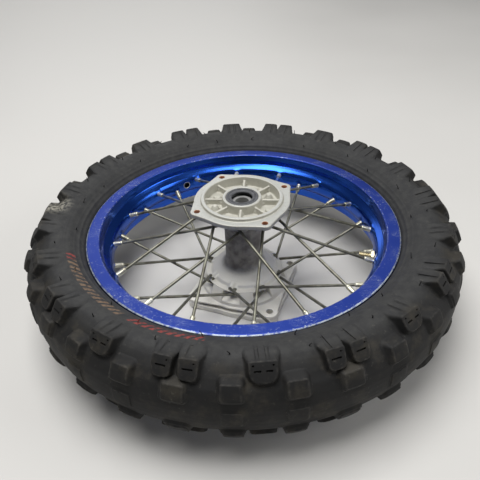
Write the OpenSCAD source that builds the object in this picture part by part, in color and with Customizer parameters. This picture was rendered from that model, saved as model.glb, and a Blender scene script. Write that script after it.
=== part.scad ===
// Rear spoked wheel of a small off-road motorcycle, lying on its sprocket side.
// +Z is the axle line, towards the brake disc side. The origin is on the axle
// line, in the middle plane of the rim. Millimetres.

/* [Rim] */
// Radius of the rim's outer lip (14 inch bead seat plus the flange)
rim_r = 192.5; // [190:0.5:196]
// Overall width of the rim
rim_w = 60; // [56:1:64]
// Radius of the tyre's bead seat
bead_r = 178.5; // [177:0.5:179.5]
// Inner radius of the flat side ring
ring_r = 177; // [176:0.5:177.5]
// Radius of the spoke bed's hub side
bed_r = 164.5; // [163:0.5:165.5]
// Direction of the valve hole
valve_angle = 345; // [344:1:346]
// Direction of the rim lock hole
lock_angle = 120; // [119:1:121]
// Radius of the rim lock hole
lock_hole_r = 4.25; // [4:0.05:4.5]

/* [Tyre] */
// Outer radius over the tread blocks
tyre_r = 264; // [262:1:268]
// Tread repeats round the tyre
tread_repeats = 10; // [8:1:11]
// Direction of the first single shoulder block
tread_angle = 273; // [270:1:276]

/* [Hub] */
// Direction of the first brake disc and sprocket hole
hole_angle = 25; // [20:1:30]
// Brake disc bolt circle radius
disc_pcr = 59; // [57:0.5:61]
// Brake disc hole radius (M8 tapping size)
disc_hole_r = 3.4; // [3:0.1:4]
// Sprocket bolt circle radius
sprocket_pcr = 71; // [69:0.5:73]
// Sprocket hole radius
sprocket_hole_r = 4.25; // [4:0.05:4.5]
// Outer radius of the hub barrel
barrel_r = 23.4; // [23:0.1:24.5]

/* [Spokes] */
// Spoke radius
spoke_r = 1.8; // [1.6:0.1:1.9]
// Spoke pairs on each flange
pairs = 8; // [8:1:8]
// Hole circle radius of the disc side spoke flange
disc_spoke_r = 38; // [37.5:0.5:38.5]
// Hole circle radius of the sprocket side spoke flange
sprocket_spoke_r = 47; // [46.5:0.5:47.5]

/* [Bearings] */
// Axle bore radius
axle_r = 8.5; // [8:0.5:9]
// Bearing outer radius
bearing_r = 20; // [20:0.5:20]
// Bearing width
bearing_w = 12; // [12:1:12]
// Balls in each bearing
ball_count = 8; // [7:1:8]

/* [Hidden] */
$fn = 96;
half_w = rim_w / 2;
lap = 1;
// Rim section
flange_z = half_w - 5.5;
bed_out_r = bed_r + 3.5;
bed_z = 10;
nipple_z = 4;
seat_z = 15;
// Rim tape
tape_r = bed_out_r + 5;
tape_t = 1.2;
tape_half_w = 11.5;
// Hub heights
seal_top_z = 66.3;
spigot_z = 66.8;
spigot_r = 50;
disc_face_z = 63;
disc_under_z = 57.5;
recess_r = 45.5;
cup_floor_z = 54.5;
cup_under_z = 51.5;
disc_flange_z = [43, 47];
sprocket_flange_z = [-50, -45];
plate_z = [-80, -65.6];
plate_r = [61.5, 59.5];
plate_flank = 35;
groove_z = [-72.5, -68.5];
neck_r = 54;
skirt_half = 9.5;
lug_r = 10.5;
lobe_r = 8;
disc_round_r = 58.5;
disc_flank = 30;
sink = 0.5;
boss_r = 23.7;
core_r = 17.5;
cavity_r = [25.5, 38.5];
cavity_z = -47;
rib_t = 3;
rib_angle = 40;
rib_count = 8;
// Cast recess: ribs and round bosses
rib_h = 7.5;
cast_boss_angles = [62, 152, 242, 332];
cast_boss_at = 35.5;
cast_boss_r = 4.2;
cast_boss_h = 3;
// Tread blocks: [radius, height] of the top's centre, lean, and [length, width, depth]
shoulder_at = [tyre_r - 16, 45];
shoulder_lean = 36.9;
shoulder_block = [27, 20, 15];
pair_block = [19, 20, 15];
pair_turn = 2.85;
mid_at = [tyre_r - 4.4, 31.5];
mid_lean = 27.9;
mid_block = [19.5, 17, 14];
mid_turn = 6.5;
inner_at = [tyre_r - 3, 26.5];
inner_lean = 23.5;
inner_block = [21, 17, 14];
centre_block = [21, 19, 14];
// Bearings
disc_bearing_z = 47.3;
sprocket_bearing_z = -72.8;
inner_race_r = 12.3;
outer_race_r = 16.2;
pitch_r = (axle_r + bearing_r) / 2;
ball_r = 3.2;
groove_r = ball_r + 0.3;
cage_half_w = 4;
spacer_r = 11.5;
seal_r = 12.5;
// Spokes: direction of the first pair, and how far its holes and nipples are turned from it
disc_pair_angle = 260.75;
sprocket_pair_angle = 249.5;
hole_turn = 4.4;
nipple_turn = 33.75;
elbow = 2.1;
elbow_r = spoke_r + 0.05;
head_r = spoke_r + 0.8;
head_t = 1.4;
bend_hole_r = spoke_r + 0.2;
nipple_r = 3.1;
nipple_head_r = 4.2;
nipple_len = 16;
nipple_seat = 1.6;
// Valve
stem_r = 3.85;
stem_base_r = 4.05;
stem_base_x = 158.5;
stem_bore_r = 2.6;
stem_in_r = 146;
core_out_r = 2.5;
pin_r = 0.6;
pin_clear = 0.05;

// Colours
zinc = [0.66, 0.66, 0.58];
steel = [0.72, 0.73, 0.75];

// ---------- helpers ----------

function polar(r, a, z) = [r * cos(a), r * sin(a), z];

// One outline turned about the axle
module turned(points) { rotate_extrude() polygon(points); }

// A round rod from one point to another
module rod(from, to, r) {
    d = to - from;
    translate(from)
        rotate([0, acos(d[2] / norm(d)), atan2(d[1], d[0])])
            cylinder(h = norm(d), r = r);
}

// A plate outline: a round body with four ears. The straight flanks leave the body and
// meet the ear in the direction flank, measured from the ear.
module eared_outline(body_r, ear_r, pcr, flank) {
    side = [cos(flank), sin(flank)];
    from = (body_r - sink) * side;
    to = [pcr, 0] + (ear_r - sink) * side;
    circle(r = body_r);
    for (a = [0:90:270]) rotate(a) {
        translate([pcr, 0]) circle(r = ear_r);
        polygon([[0, 0], [from[0], -from[1]], [to[0], -to[1]], to, from]);
    }
}

// A ring that fills the space between two radii and two heights
module ring(r_in, r_out, z0, z1) {
    translate([0, 0, z0]) difference() {
        cylinder(h = z1 - z0, r = r_out);
        translate([0, 0, -lap]) cylinder(h = z1 - z0 + 2 * lap, r = r_in);
    }
}

// ---------- spokes ----------

// Spoke side: 1 disc side, -1 sprocket side. Turn: 1 leading, -1 trailing.
function pair_angle(side, k) =
    (side > 0 ? disc_pair_angle : sprocket_pair_angle) + k * 360 / pairs;
function spoke_flange_r(side) = side > 0 ? disc_spoke_r : sprocket_spoke_r;
function spoke_flange_z(side) = side > 0 ? disc_flange_z : sprocket_flange_z;
function hole_dir(side, turn, k) = pair_angle(side, k) - turn * hole_turn;
// Leading spokes leave above the flange, trailing spokes below it
function elbow_z(side, turn) =
    turn > 0 ? spoke_flange_z(side)[1] + elbow : spoke_flange_z(side)[0] - elbow;
function head_z(side, turn) =
    turn > 0 ? spoke_flange_z(side)[0] - 1 : spoke_flange_z(side)[1] + 1;
function elbow_at(side, turn, k) =
    polar(spoke_flange_r(side), hole_dir(side, turn, k), elbow_z(side, turn));
function seat_at(side, turn, k) =
    polar(bed_out_r, pair_angle(side, k) + turn * nipple_turn, side * nipple_z);
// Points along a spoke, measured from its nipple seat towards the hub
function along(side, turn, k, d) =
    let (s = seat_at(side, turn, k), e = elbow_at(side, turn, k))
        s + (e - s) * d / norm(e - s);

module spoke(side, turn, k) {
    e = elbow_at(side, turn, k);
    h = polar(spoke_flange_r(side), hole_dir(side, turn, k), head_z(side, turn));
    rod(along(side, turn, k, 4), e, spoke_r);
    translate(e) sphere(r = elbow_r);
    rod(e, h, spoke_r);
    rod(h, h + [0, 0, -turn * head_t], head_r);
}

module spokes(side, turn) {
    for (k = [0:pairs - 1]) spoke(side, turn, k);
}

module nipples(side) {
    for (k = [0:pairs - 1], turn = [-1, 1]) difference() {
        union() {
            rod(along(side, turn, k, -nipple_seat - 1), along(side, turn, k, nipple_len), nipple_r);
            rod(along(side, turn, k, -nipple_seat - 1.6), along(side, turn, k, -nipple_seat),
                nipple_head_r);
        }
        rod(along(side, turn, k, 3), along(side, turn, k, nipple_len + lap), spoke_r + 0.03);
    }
}

module disc_side_leading_spokes() { color(zinc) spokes(1, 1); }
module disc_side_trailing_spokes() { color(zinc) spokes(1, -1); }
module sprocket_side_leading_spokes() { color(zinc) spokes(-1, 1); }
module sprocket_side_trailing_spokes() { color(zinc) spokes(-1, -1); }
module disc_side_nipples() { color(zinc) nipples(1); }
module sprocket_side_nipples() { color(zinc) nipples(-1); }

// The holes that the spokes' bent ends pass through
module spoke_flange_holes(side) {
    z = spoke_flange_z(side);
    for (k = [0:pairs - 1], turn = [-1, 1])
        rod(polar(spoke_flange_r(side), hole_dir(side, turn, k), z[0] - lap),
            polar(spoke_flange_r(side), hole_dir(side, turn, k), z[1] + lap), bend_hole_r);
}

// Scallops between the pairs of spoke holes
module scallops(side, r, centre_r) {
    z = spoke_flange_z(side);
    for (k = [0:pairs - 1])
        translate(polar(centre_r, pair_angle(side, k) + 180 / pairs, z[0] - lap))
            cylinder(h = z[1] - z[0] + 2 * lap, r = r);
}

// ---------- hub ----------

module hub_body() {
    turned([[core_r, disc_bearing_z], [bearing_r, disc_bearing_z], [bearing_r, seal_top_z],
            [boss_r, seal_top_z], [boss_r + 0.8, cup_floor_z], [recess_r - 1, cup_floor_z],
            [recess_r, spigot_z], [spigot_r, spigot_z], [spigot_r, disc_face_z],
            [spigot_r + 4, disc_face_z], [spigot_r + 4, disc_under_z],
            [spigot_r - 0.5, disc_under_z], [recess_r + 1, cup_under_z + 2],
            [recess_r - 2, cup_under_z], [33.5, cup_under_z], [33, disc_flange_z[1]],
            [38.6, disc_flange_z[1]], [41.5, disc_flange_z[1] - 2], [41.5, disc_flange_z[0]],
            [32, disc_flange_z[0]], [27, 38.5], [24.4, 31], [barrel_r, 22],
            [barrel_r, -25], [24.2, -29], [26.4, -32.2], [30.2, -35.4], [36, -38.4],
            [41.4, -41.3], [43.9, sprocket_flange_z[1]], [50.5, sprocket_flange_z[1]],
            [50.5, -47.3], [47.6, sprocket_flange_z[0]], [43.5, sprocket_flange_z[0]],
            [43.5, -55.5], [neck_r + 2.5, -60.5], [neck_r + 2.5, plate_z[1] - 1],
            [neck_r, plate_z[1] - 1], [neck_r, plate_z[0]], [bearing_r, plate_z[0]],
            [bearing_r, sprocket_bearing_z + bearing_w],
            [core_r, sprocket_bearing_z + bearing_w]]);
}

// Ring pocket under the sprocket side, with its ribs left standing
module sprocket_cavity() {
    difference() {
        ring(cavity_r[0], cavity_r[1], plate_z[0] - lap, cavity_z);
        for (k = [0:rib_count - 1]) rotate(rib_angle + k * 360 / rib_count)
            translate([cavity_r[0] - lap, -rib_t / 2, plate_z[0] + 4])
                cube([cavity_r[1] - cavity_r[0] + 2 * lap, rib_t, cavity_z - plate_z[0]]);
    }
}

module disc_flange_plate() {
    difference() {
        translate([0, 0, disc_under_z]) rotate(hole_angle)
            linear_extrude(disc_face_z - disc_under_z)
                eared_outline(disc_round_r, lobe_r, disc_pcr, disc_flank);
        translate([0, 0, disc_under_z - lap]) cylinder(h = 10, r = spigot_r - 2);
    }
}

// Two eared lips with a groove between them, and a lug through both at each hole
module sprocket_plate() {
    difference() {
        union() {
            translate([0, 0, plate_z[0]]) rotate(hole_angle)
                linear_extrude(groove_z[0] - plate_z[0])
                    eared_outline(plate_r[0], lug_r, sprocket_pcr, plate_flank);
            translate([0, 0, groove_z[1]]) rotate(hole_angle)
                linear_extrude(plate_z[1] - groove_z[1])
                    eared_outline(plate_r[1], lug_r, sprocket_pcr, plate_flank);
            for (a = [0:90:270]) rotate(hole_angle + a)
                translate([sprocket_pcr, 0, plate_z[0] + lap]) {
                    cylinder(h = plate_z[1] - plate_z[0] - 2 * lap, r = lug_r - 0.8);
                    translate([neck_r - sprocket_pcr - lap, -6, 0])
                        cube([sprocket_pcr - neck_r, 12, plate_z[1] - plate_z[0] - 2 * lap]);
                }
        }
        translate([0, 0, plate_z[0] - lap]) cylinder(h = 20, r = 46);
    }
}

// Sloping skirt below the spoke flange, open under each pair of spoke holes
module sprocket_skirt() {
    top = sprocket_flange_z[1] - 0.4;
    for (k = [0:pairs - 1]) rotate(pair_angle(-1, k) + 180 / pairs - skirt_half)
        rotate_extrude(angle = 2 * skirt_half)
            polygon([[42, top], [48.6, top], [51.5, top - 2.2], [neck_r + 2.3, -58.5],
                     [neck_r + 2.3, -61.5], [42, -61.5]]);
}

module disc_recess_ribs() {
    for (k = [0:rib_count - 1]) rotate(rib_angle + k * 360 / rib_count)
        translate([boss_r, -rib_t / 2, cup_floor_z - lap])
            cube([recess_r - boss_r - 0.3, rib_t, rib_h + lap]);
    for (a = cast_boss_angles) translate(polar(cast_boss_at, a, cup_floor_z - lap))
        cylinder(h = cast_boss_h + lap, r = cast_boss_r);
}

module hub_shell() {
    color([0.74, 0.73, 0.7]) difference() {
        union() {
            hub_body();
            disc_flange_plate();
            sprocket_plate();
            sprocket_skirt();
            disc_recess_ribs();
        }
        sprocket_cavity();
        spoke_flange_holes(1);
        spoke_flange_holes(-1);
        scallops(1, 7, 46);
        for (a = [0:90:270]) {
            translate(polar(disc_pcr, hole_angle + a, disc_under_z - lap))
                cylinder(h = 10, r = disc_hole_r);
            translate(polar(sprocket_pcr, hole_angle + a, plate_z[0] - lap))
                cylinder(h = 20, r = sprocket_hole_r);
        }
    }
}

// ---------- rim ----------

// Half of the rim's section, from the lip round to the middle of the bed
function rim_half(s) = [
    [rim_r, s * (half_w - 2.6)], [rim_r - 1, s * (half_w - 4.6)],
    [rim_r - 4, s * (flange_z + 0.3)], [bead_r + 2, s * flange_z],
    [bead_r, s * (flange_z - 1.6)], [bead_r - 0.5, s * seat_z], [bed_out_r + 1, s * bed_z],
    [bed_out_r, s * (bed_z - 1)]];
function rim_hub_side(s) = [
    [bed_r, s * 2.5], [bed_r + 0.4, s * 6], [bed_r + 2.4, s * 10], [bed_r + 6.4, s * 13.5],
    [ring_r - 3, s * 16.5], [ring_r - 1.8, s * 22], [ring_r - 1.2, s * (half_w - 1.2)],
    [ring_r, s * half_w], [rim_r - 2.2, s * half_w], [rim_r - 0.6, s * (half_w - 1)]];
function reversed(v) = [for (i = [len(v) - 1:-1:0]) v[i]];

module rim() {
    color([0.14, 0.22, 0.72]) difference() {
        turned(concat(rim_half(1), reversed(rim_half(-1)),
                      reversed(rim_hub_side(-1)), rim_hub_side(1)));
        for (side = [-1, 1], turn = [-1, 1], k = [0:pairs - 1])
            rod(along(side, turn, k, -8), along(side, turn, k, 9), nipple_r + 0.2);
        rod(polar(bed_r - 5, valve_angle, 0), polar(bed_out_r + 5, valve_angle, 0),
            stem_base_r + 0.3);
        rod(polar(bed_r - 5, lock_angle, 0), polar(bed_out_r + 5, lock_angle, 0),
            lock_hole_r);
    }
}

module rim_tape() {
    color([0.16, 0.15, 0.15]) difference() {
        ring(tape_r, tape_r + tape_t, -tape_half_w, tape_half_w);
        rod(polar(tape_r - 3, valve_angle, 0), polar(tape_r + 4, valve_angle, 0),
            stem_base_r + 0.3);
    }
}

// ---------- tyre ----------

// Outer surface of the casing, bead to crown
function casing_out(s) = [
    [bead_r + 0.3, s * (flange_z - 2.2)], [bead_r + 2.2, s * (flange_z - 0.3)],
    [rim_r - 4, s * (flange_z - 0.1)], [rim_r - 0.8, s * (half_w - 5)],
    [rim_r + 0.6, s * (half_w - 2.4)],
    [rim_r + 2, s * (half_w + 0.6)], [200, s * 36], [209, s * 42.5], [219, s * 46],
    [229, s * 46], [237, s * 41.5], [246.5, s * 35], [254.5, s * 28], [259.5, s * 20],
    [261.8, s * 10], [262.4, s * 4]];
function casing_in(s) = [
    [bead_r + 0.3, s * (seat_z + 1)], [184, s * (seat_z + 1)], [195, s * 25.5],
    [209, s * 35.5], [221, s * 39], [231, s * 37], [238, s * 30], [243.5, s * 18],
    [245.5, s * 5]];

// A tread block in direction a, leaning towards +Z
module block(a, at, lean, size) {
    rotate(a) translate([at[0], 0, at[1]]) rotate([0, -lean, 0])
        translate([-size[2], -size[0] / 2, -size[1] / 2]) cube([size[2], size[0], size[1]]);
}

module tread_side() {
    pitch = 360 / tread_repeats;
    for (k = [0:tread_repeats - 1]) {
        single = tread_angle + k * pitch;
        double = single + pitch / 2;
        block(single, shoulder_at, shoulder_lean, shoulder_block);
        block(double, inner_at, inner_lean, inner_block);
        for (t = [-1, 1]) {
            block(double + t * pair_turn, shoulder_at, shoulder_lean, pair_block);
            block(single + t * mid_turn, mid_at, mid_lean, mid_block);
        }
    }
}

module tyre() {
    color([0.2, 0.2, 0.2]) {
        turned(concat(casing_out(1), reversed(casing_out(-1)),
                      casing_in(-1), reversed(casing_in(1))));
        tread_side();
        mirror([0, 0, 1]) tread_side();
        for (k = [0:tread_repeats - 1], t = [-1, 1])
            block(tread_angle + k * 360 / tread_repeats + t * mid_turn, [tyre_r, 0], 0, centre_block);
    }
}

function tube_half(s) = [
    [tape_r + tape_t + 0.4, s * 8], [178, s * 13.5], [184, s * 15.4], [195, s * 24.7],
    [209, s * 34.6], [221, s * 38], [230.6, s * 36], [237.2, s * 29.4], [242.6, s * 17.6],
    [244.6, s * 4.8]];

module inner_tube() {
    color([0.1, 0.1, 0.1]) difference() {
        rotate_extrude() difference() {
            polygon(concat(tube_half(1), reversed(tube_half(-1))));
            offset(delta = -2) polygon(concat(tube_half(1), reversed(tube_half(-1))));
        }
        rod(polar(tape_r, valve_angle, 0), polar(tape_r + 5, valve_angle, 0),
            stem_base_r + 0.02);
    }
}

// ---------- bearings ----------

module race_groove(z) {
    translate([0, 0, z + bearing_w / 2]) rotate_extrude()
        translate([pitch_r, 0]) circle(r = groove_r);
}

module inner_race(z) {
    color(steel) difference() {
        ring(axle_r, inner_race_r, z, z + bearing_w);
        race_groove(z);
    }
}

module outer_race(z) {
    color(steel) difference() {
        ring(outer_race_r, bearing_r, z, z + bearing_w);
        race_groove(z);
    }
}

module ball_set(z) {
    color([0.82, 0.82, 0.84])
        for (k = [0:ball_count - 1])
            translate(polar(pitch_r, k * 360 / ball_count, z + bearing_w / 2))
                sphere(r = ball_r);
}

module cage(z) {
    mid = z + bearing_w / 2;
    color([0.6, 0.52, 0.3]) difference() {
        ring(pitch_r - 0.7, pitch_r + 0.7, mid - cage_half_w, mid + cage_half_w);
        for (k = [0:ball_count - 1])
            rod(polar(pitch_r - 4, k * 360 / ball_count, mid),
                polar(pitch_r + 4, k * 360 / ball_count, mid), ball_r + 0.1);
    }
}

module shields(z) {
    color([0.12, 0.12, 0.13]) {
        ring(inner_race_r + 0.3, outer_race_r, z + 0.5, z + 1.3);
        ring(inner_race_r + 0.3, outer_race_r, z + bearing_w - 1.3, z + bearing_w - 0.5);
    }
}

module disc_bearing_outer_race() { outer_race(disc_bearing_z); }
module disc_bearing_inner_race() { inner_race(disc_bearing_z); }
module disc_bearing_balls() { ball_set(disc_bearing_z); }
module disc_bearing_cage() { cage(disc_bearing_z); }
module disc_bearing_shields() { shields(disc_bearing_z); }
module sprocket_bearing_outer_race() { outer_race(sprocket_bearing_z); }
module sprocket_bearing_inner_race() { inner_race(sprocket_bearing_z); }
module sprocket_bearing_balls() { ball_set(sprocket_bearing_z); }
module sprocket_bearing_cage() { cage(sprocket_bearing_z); }
module sprocket_bearing_shields() { shields(sprocket_bearing_z); }

module bearing_spacer() {
    color([0.65, 0.66, 0.68])
        ring(axle_r, spacer_r, sprocket_bearing_z + bearing_w, disc_bearing_z);
}

// A lip seal: an L section with a raised lip round its opening
module seal(back, face) {
    s = sign(face - back);
    color([0.3, 0.31, 0.33]) turned([
        [bearing_r, back], [bearing_r, face], [seal_r + 0.6, face], [seal_r, face - s * 0.8],
        [seal_r, face - s * 2.4], [seal_r + 1.2, face - s * 3.4], [seal_r + 1.2, face - s * 4.2],
        [bearing_r - 2, face - s * 4.2], [bearing_r - 2, back]]);
}

module disc_side_seal() { seal(disc_bearing_z + bearing_w + 0.1, seal_top_z - 0.2); }
module sprocket_side_seal() { seal(sprocket_bearing_z - 0.1, plate_z[0] + 0.2); }

// ---------- valve ----------

// Things drawn along +X lie along the valve, pointing out from the axle
module at_valve() { rotate(valve_angle) rotate([0, 90, 0]) children(); }

module tube_along_x(r_in, r_out, x0, x1) {
    at_valve() translate([0, 0, x0]) difference() {
        cylinder(h = x1 - x0, r = r_out);
        translate([0, 0, -lap]) cylinder(h = x1 - x0 + 2 * lap, r = r_in);
    }
}

module valve_stem() {
    color([0.8, 0.74, 0.58]) {
        tube_along_x(stem_bore_r, stem_r, stem_in_r, stem_base_x + 0.5);
        tube_along_x(stem_bore_r, stem_base_r, stem_base_x, tape_r + 3);
    }
}

module valve_nut() {
    color([0.8, 0.76, 0.62]) at_valve() translate([0, 0, bed_r - 4.3]) difference() {
        cylinder(h = 4, r = 8.1, $fn = 6);
        translate([0, 0, -lap]) cylinder(h = 4 + 2 * lap, r = stem_base_r + 0.05);
    }
}

module valve_core() {
    color([0.76, 0.66, 0.36])
        tube_along_x(pin_r + pin_clear, core_out_r, stem_in_r + 1, stem_in_r + 16);
}

module valve_pin() {
    color([0.8, 0.72, 0.45]) at_valve()
        translate([0, 0, stem_in_r + 0.2]) cylinder(h = 19, r = pin_r, $fn = 32);
}

hub_shell();
rim();
rim_tape();
inner_tube();
tyre();
disc_side_leading_spokes();
disc_side_trailing_spokes();
sprocket_side_leading_spokes();
sprocket_side_trailing_spokes();
disc_side_nipples();
sprocket_side_nipples();
disc_bearing_outer_race();
disc_bearing_inner_race();
disc_bearing_balls();
disc_bearing_cage();
disc_bearing_shields();
sprocket_bearing_outer_race();
sprocket_bearing_inner_race();
sprocket_bearing_balls();
sprocket_bearing_cage();
sprocket_bearing_shields();
bearing_spacer();
disc_side_seal();
sprocket_side_seal();
valve_stem();
valve_nut();
valve_core();
valve_pin();
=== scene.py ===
"""A spoked off-road rear wheel lying on its sprocket side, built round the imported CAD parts."""

import math
from dataclasses import dataclass

import bmesh
import bpy
import numpy as np
from mathutils import Matrix, Vector

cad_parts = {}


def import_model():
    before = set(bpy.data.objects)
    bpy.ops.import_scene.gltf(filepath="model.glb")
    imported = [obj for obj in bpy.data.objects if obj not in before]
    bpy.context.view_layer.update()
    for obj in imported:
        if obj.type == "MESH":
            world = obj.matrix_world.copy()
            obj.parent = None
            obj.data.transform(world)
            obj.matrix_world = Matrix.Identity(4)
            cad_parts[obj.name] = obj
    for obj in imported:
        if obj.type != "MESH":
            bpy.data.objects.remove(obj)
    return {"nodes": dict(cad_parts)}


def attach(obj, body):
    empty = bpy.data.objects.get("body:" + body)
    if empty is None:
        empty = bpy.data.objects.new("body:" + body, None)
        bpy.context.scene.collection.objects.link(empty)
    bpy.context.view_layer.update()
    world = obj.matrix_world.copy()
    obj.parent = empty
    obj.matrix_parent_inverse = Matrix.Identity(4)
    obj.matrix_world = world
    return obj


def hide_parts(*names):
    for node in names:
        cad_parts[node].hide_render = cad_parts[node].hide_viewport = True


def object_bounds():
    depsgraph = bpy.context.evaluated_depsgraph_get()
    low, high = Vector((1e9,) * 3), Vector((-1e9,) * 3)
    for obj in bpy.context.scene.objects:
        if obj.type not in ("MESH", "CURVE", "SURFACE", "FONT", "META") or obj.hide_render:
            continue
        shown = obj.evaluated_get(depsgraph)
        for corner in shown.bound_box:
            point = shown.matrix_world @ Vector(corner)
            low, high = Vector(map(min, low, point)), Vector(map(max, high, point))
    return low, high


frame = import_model()
cad_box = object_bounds()

MM = 0.001

# Sizes in millimetres and directions in degrees, which follow the CAD parts
RIM_R = 192.5
HALF_W = 30.0
FLANGE_Z = 24.5
BEAD_R = 178.5
RING_R = 177.0
BED_R = 164.5
BED_OUT_R = 168.0
VALVE_ANGLE = 345.0
LOCK_ANGLE = 120.0
LOCK_HOLE_R = 4.25
VALVE_HOLE_R = 4.35
TYRE_R = 264.0
TREAD_REPEATS = 10
TREAD_ANGLE = 273.0
SECTION_R = 222.0  # the centre of the tyre's section
# Tread blocks: radius and height of the top's centre, and its lean in degrees
SHOULDER_AT = (TYRE_R - 16, 45, 36.9)
MID_AT = (TYRE_R - 4.4, 31.5, 27.9)
INNER_AT = (TYRE_R - 3, 26.5, 23.5)
CENTRE_AT = (TYRE_R, 0, 0)
PAIR_TURN = 2.85
MID_TURN = 6.5
PAIRS = 8
SPOKE_R = 1.8
SPOKE_FLANGE_R = {1: 38.0, -1: 47.0}
SPOKE_FLANGE_Z = {1: (43.0, 47.0), -1: (-50.0, -45.0)}
PAIR_ANGLE = {1: 260.75, -1: 249.5}
HOLE_TURN = 4.4
NIPPLE_TURN = 33.75
NIPPLE_Z = 4.0
ELBOW = 2.1
HOLE_ANGLE = 25.0
DISC_PCR = 59.0
RECESS_Z = 54.4
RIB_ANGLE = 40.0
RIBS = 8
BARREL_Z = (-32.5, 50.0)
VALVE_FROM = 146.0
VALVE_TO = 176.5
VALVE_BORE = 2.62

# Details of the looks, which the CAD parts do not have
BEND_REACH = 3.2
SIPE_DEPTH = 2.6
HOLE_DEPTH = 2.4
DASH_R = (203.5, 212.5)
SCUFF_AT = (243, 174, 47)  # a pale scuff on the shoulder: radius, direction and height
FLOOR_Z = cad_box[0][2] / MM - 0.3


# ---------- geometry helpers ----------


def polar(r, a, z):
    """A point from its radius, its direction in degrees and its height."""
    t = math.radians(a)
    return np.array([r * math.cos(t), r * math.sin(t), z])


def unit(v):
    return v / np.linalg.norm(v)


class Shape:
    """Vertices in millimetres and faces, gathered from several closed shells."""

    def __init__(self):
        self.verts = []
        self.faces = []
        self.wear = []
        self.count = 0

    def add(self, verts, faces, wear=None):
        verts = np.asarray(verts, float).reshape(-1, 3)
        self.verts.append(verts)
        self.faces += [tuple(i + self.count for i in f) for f in faces]
        self.wear.append(np.zeros(len(verts)) if wear is None else np.asarray(wear))
        self.count += len(verts)

    def mesh(self, name, sharp):
        mesh = bpy.data.meshes.new(name)
        mesh.from_pydata((np.concatenate(self.verts) * MM).tolist(), [], self.faces)
        wear = mesh.attributes.new("wear", "FLOAT", "POINT")
        wear.data.foreach_set("value", np.concatenate(self.wear).astype(np.float32))
        finish_mesh(mesh, sharp)
        return mesh


def finish_mesh(mesh, sharp):
    """Outward normals, and smooth shading up to the given angle."""
    bm = bmesh.new()
    bm.from_mesh(mesh)
    bmesh.ops.recalc_face_normals(bm, faces=bm.faces)
    bm.to_mesh(mesh)
    bm.free()
    mesh.polygons.foreach_set("use_smooth", [True] * len(mesh.polygons))
    mesh.set_sharp_from_angle(angle=math.radians(sharp))


def linked(name, data):
    """A new object in the scene."""
    obj = bpy.data.objects.new(name, data)
    bpy.context.scene.collection.objects.link(obj)
    return obj


def place(name, mesh, body, slot, material, *nodes):
    """A finished mesh as a piece that rides on a body and stands for any CAD nodes named."""
    piece = linked(name, mesh)
    mesh.materials.clear()
    mesh.materials.append(material)
    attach(piece, body)
    if nodes:
        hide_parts(*nodes)
    return piece


def baked(obj, *modifiers):
    """The object's mesh with the given modifiers applied."""
    for kind, settings in modifiers:
        m = obj.modifiers.new(kind.lower(), kind)
        for key, value in settings.items():
            setattr(m, key, value)
    depsgraph = bpy.context.evaluated_depsgraph_get()
    mesh = bpy.data.meshes.new_from_object(obj.evaluated_get(depsgraph))
    bpy.data.objects.remove(obj)
    return mesh


def rounded(points, radius, steps=3, closed=True):
    """An outline with its corners rounded; a point may give its own radius third."""
    n = len(points)
    out = []
    for i, p in enumerate(points):
        here = np.array(p[:2], float)
        r = p[2] if len(p) > 2 else radius
        if r <= 0 or (not closed and i in (0, n - 1)):
            out.append(here)
            continue
        back = np.array(points[i - 1][:2], float) - here
        on = np.array(points[(i + 1) % n][:2], float) - here
        cosine = np.clip(unit(back) @ unit(on), -1, 1)
        angle = math.acos(cosine)
        cut = min(r / math.tan(angle / 2), 0.45 * min(np.linalg.norm(back), np.linalg.norm(on)))
        a, b = here + unit(back) * cut, here + unit(on) * cut
        for t in np.linspace(0, 1, steps + 1):
            out.append(a * (1 - t) ** 2 + 2 * here * t * (1 - t) + b * t * t)
    return np.array(out)


def dense(points, gap, closed=True):
    """The outline with no edge longer than gap."""
    out = []
    n = len(points)
    for i in range(n if closed else n - 1):
        a, b = points[i], points[(i + 1) % n]
        parts = max(1, math.ceil(np.linalg.norm(b - a) / gap))
        out += [a + (b - a) * k / parts for k in range(parts)]
    if not closed:
        out.append(points[-1])
    return np.array(out)


def loop_faces(rings, size):
    """Quads between successive closed rings of the same size."""
    faces = []
    for i in range(rings - 1):
        for j in range(size):
            k = (j + 1) % size
            faces.append((i * size + j, i * size + k, (i + 1) * size + k, (i + 1) * size + j))
    return faces


def end_faces(rings, size):
    """The two flat ends of stacked rings."""
    return [tuple(range(size)), tuple(range((rings - 1) * size, rings * size))]


def turned(outline, steps, shift=None):
    """A closed (radius, height) outline turned about the axle; shift(r, a, z) moves the radius."""
    n = len(outline)
    angles = np.radians(np.arange(steps) * 360 / steps)
    a = np.repeat(angles, n)
    r = np.tile(outline[:, 0], steps)
    z = np.tile(outline[:, 1], steps)
    if shift is not None:
        r = r + shift(r, np.degrees(a), z)
    verts = np.stack([r * np.cos(a), r * np.sin(a), z], 1)
    faces = []
    for i in range(steps):
        k = (i + 1) % steps
        for j in range(n):
            m = (j + 1) % n
            faces.append((i * n + j, i * n + m, k * n + m, k * n + j))
    return verts, faces


def tube(path, radii, sides=14):
    """A closed tube along a path, with a radius at each point."""
    path = np.asarray(path, float)
    ahead = np.gradient(path, axis=0)
    across = None
    verts = []
    turn = np.arange(sides) * 2 * math.pi / sides
    for p, d, r in zip(path, ahead, radii, strict=True):
        d = unit(d)
        if across is None:
            across = np.cross(d, [0, 0, 1.0])
            if np.linalg.norm(across) < 1e-3:
                across = np.cross(d, [1.0, 0, 0])
        across = unit(across - d * (across @ d))
        other = np.cross(d, across)
        verts.append(p + r * (np.outer(np.cos(turn), across) + np.outer(np.sin(turn), other)))
    faces = loop_faces(len(path), sides) + end_faces(len(path), sides)
    return np.concatenate(verts), faces


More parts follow.
